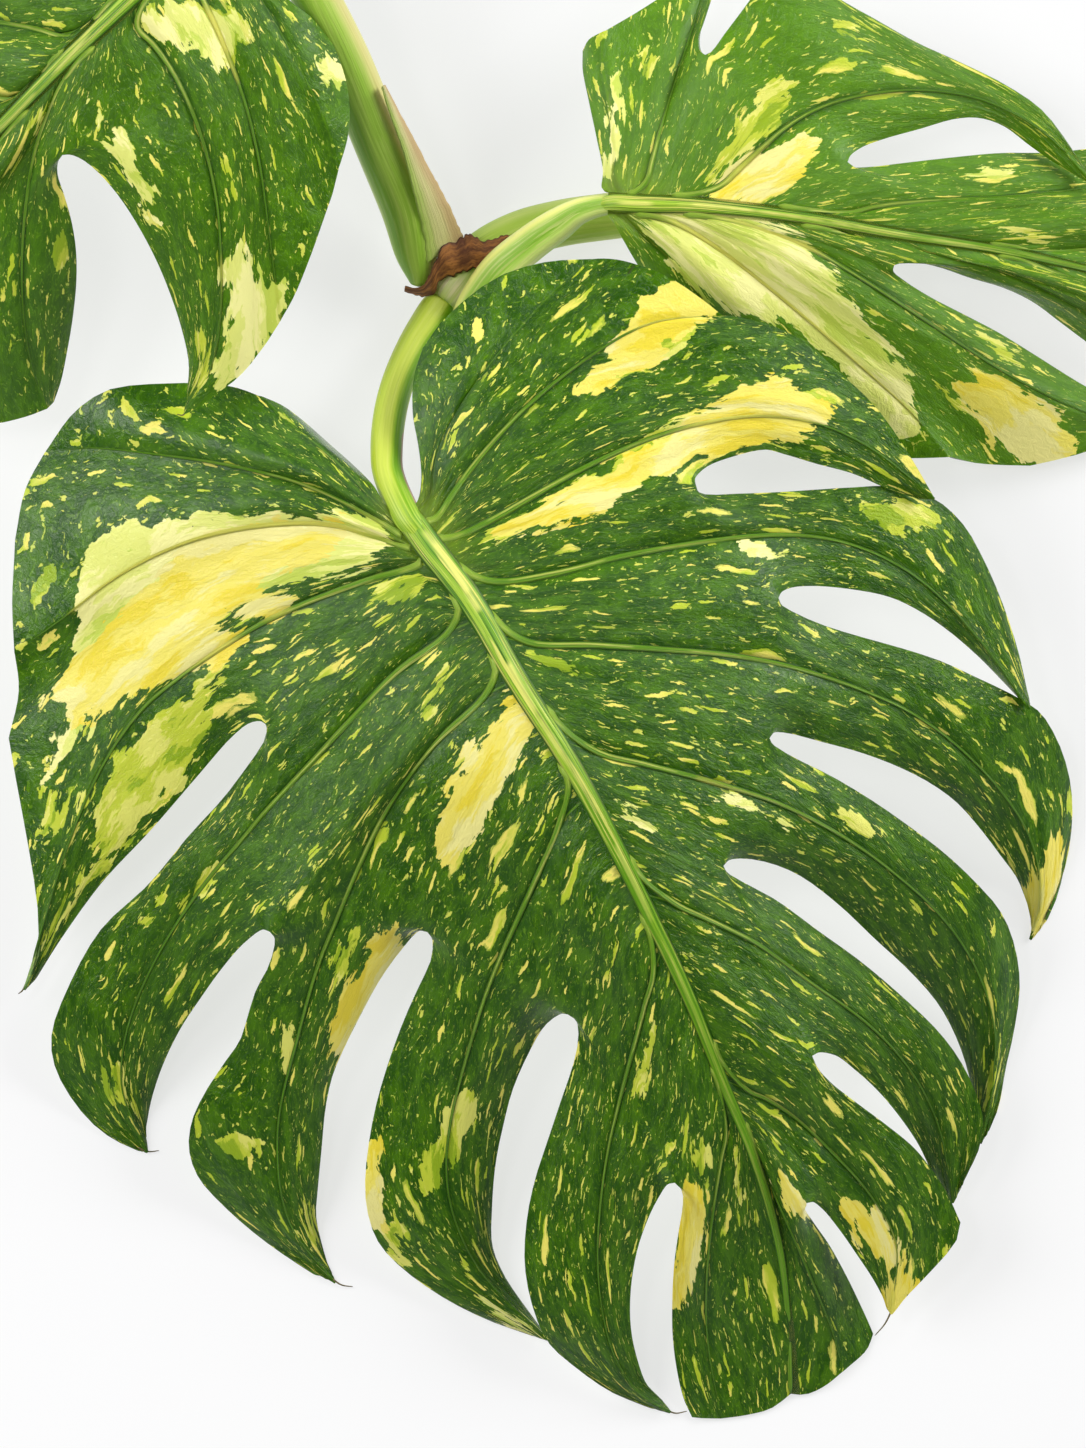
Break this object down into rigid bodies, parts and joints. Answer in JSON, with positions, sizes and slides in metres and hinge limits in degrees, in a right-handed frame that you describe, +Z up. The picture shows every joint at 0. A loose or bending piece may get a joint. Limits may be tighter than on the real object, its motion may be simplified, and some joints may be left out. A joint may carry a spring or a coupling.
{
  "type": "monstera cutting",
  "caption": "Cut length of variegated monstera stem with its split leaves on curved stalks, lying on the stem and the leaf tips.",
  "frame": {"origin": "on the flat strip under the stem, in the middle of its length, on the surface that the cutting lies on", "axes": "+Z up from the surface, towards the viewer; +Y away from the large leaf's tip, along the picture's upright; +X to the right of the picture, towards the right leaf"},
  "size_m": [0.5095, 0.5043, 0.0924],
  "materials": {
    "stem": "smooth pale green plant stem, satin",
    "brown sheath": "dry papery sheath, matte",
    "stalk": "smooth green leaf stalk, satin",
    "tan sheath": "dry papery sheath, matte",
    "blade": "leathery dark green blade with cream and lime variegation, semi-gloss"
  },
  "bodies": {
    "root": {"stem": "stem", "node_sheath": "brown sheath", "petiole_main": "stalk", "petiole_left": "stalk", "petiole_right": "stalk", "petiole_left_sheath": "tan sheath", "leaf_main": "blade", "leaf_left": "blade", "leaf_right": "blade"}
  },
  "joints": []
}
